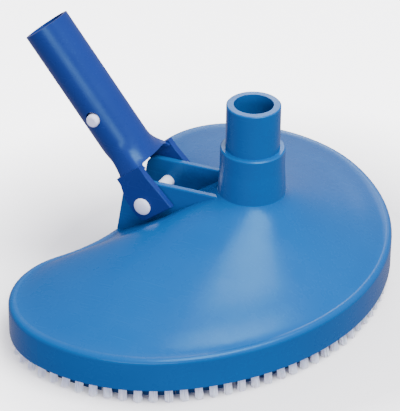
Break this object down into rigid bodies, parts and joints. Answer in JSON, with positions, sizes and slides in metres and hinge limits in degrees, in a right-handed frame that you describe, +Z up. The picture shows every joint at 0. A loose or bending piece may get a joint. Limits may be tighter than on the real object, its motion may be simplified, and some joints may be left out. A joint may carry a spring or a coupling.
{
  "type": "pool vacuum head",
  "caption": "Half-moon suction head for a pool floor, with a stepped hose spigot, a bristled rim and a forked handle that tilts and has a sprung pole clip.",
  "frame": {"origin": "on the hose spigot's axis, level with the bristle tips that rest on the pool floor", "axes": "+Z up along the hose spigot, +X across both lobes, +Y towards the concave rear edge and the handle"},
  "size_m": [0.285, 0.2273, 0.1562],
  "materials": {
    "shell": "satin gloss moulded blue",
    "handle": "satin gloss moulded darker blue",
    "brush_base": "matt dark blue",
    "bristle": "fine white filaments",
    "anchor_metal": "drawn strip",
    "screw_steel": "stainless",
    "ballast_coat": "dip coated",
    "white_plastic": "smooth white"
  },
  "bodies": {
    "head": {"body_shell": "shell", "strip_front": "brush_base", "strip_right": "brush_base", "strip_rear": "brush_base", "strip_left": "brush_base", "tufts_front": "bristle", "tufts_right": "bristle", "tufts_rear": "bristle", "tufts_left": "bristle", "anchors_front": "anchor_metal", "anchors_right": "anchor_metal", "anchors_rear": "anchor_metal", "anchors_left": "anchor_metal", "strip_screws": "screw_steel", "ballast_left": "ballast_coat", "ballast_right": "ballast_coat", "ballast_screws": "screw_steel", "pivot_pin": "white_plastic", "pin_cap": "white_plastic"},
    "handle": {"handle_fork": "handle", "clip_bend": "white_plastic"},
    "button_left": {"clip_leg_left": "white_plastic"},
    "button_right": {"clip_leg_right": "white_plastic"}
  },
  "joints": [
    {"name": "handle_tilt", "type": "hinge", "parent": "head", "child": "handle", "pos_m": [0, 0.0616, 0.0533], "axis": [1, 0, 0], "range_deg": [-46, 11]},
    {"name": "button_left_press", "type": "hinge", "parent": "handle", "child": "button_left", "pos_m": [-0.0024, 0.08102, 0.07746], "axis": [0, 0.7793, -0.6266], "range_deg": [0, 4.5], "stiffness_Nm_per_rad": 1.5, "springref_deg": -5.73},
    {"name": "button_right_press", "type": "hinge", "parent": "handle", "child": "button_right", "pos_m": [0.0024, 0.08102, 0.07746], "axis": [0, -0.7793, 0.6266], "range_deg": [0, 4.5], "stiffness_Nm_per_rad": 1.5, "springref_deg": -5.73}
  ]
}
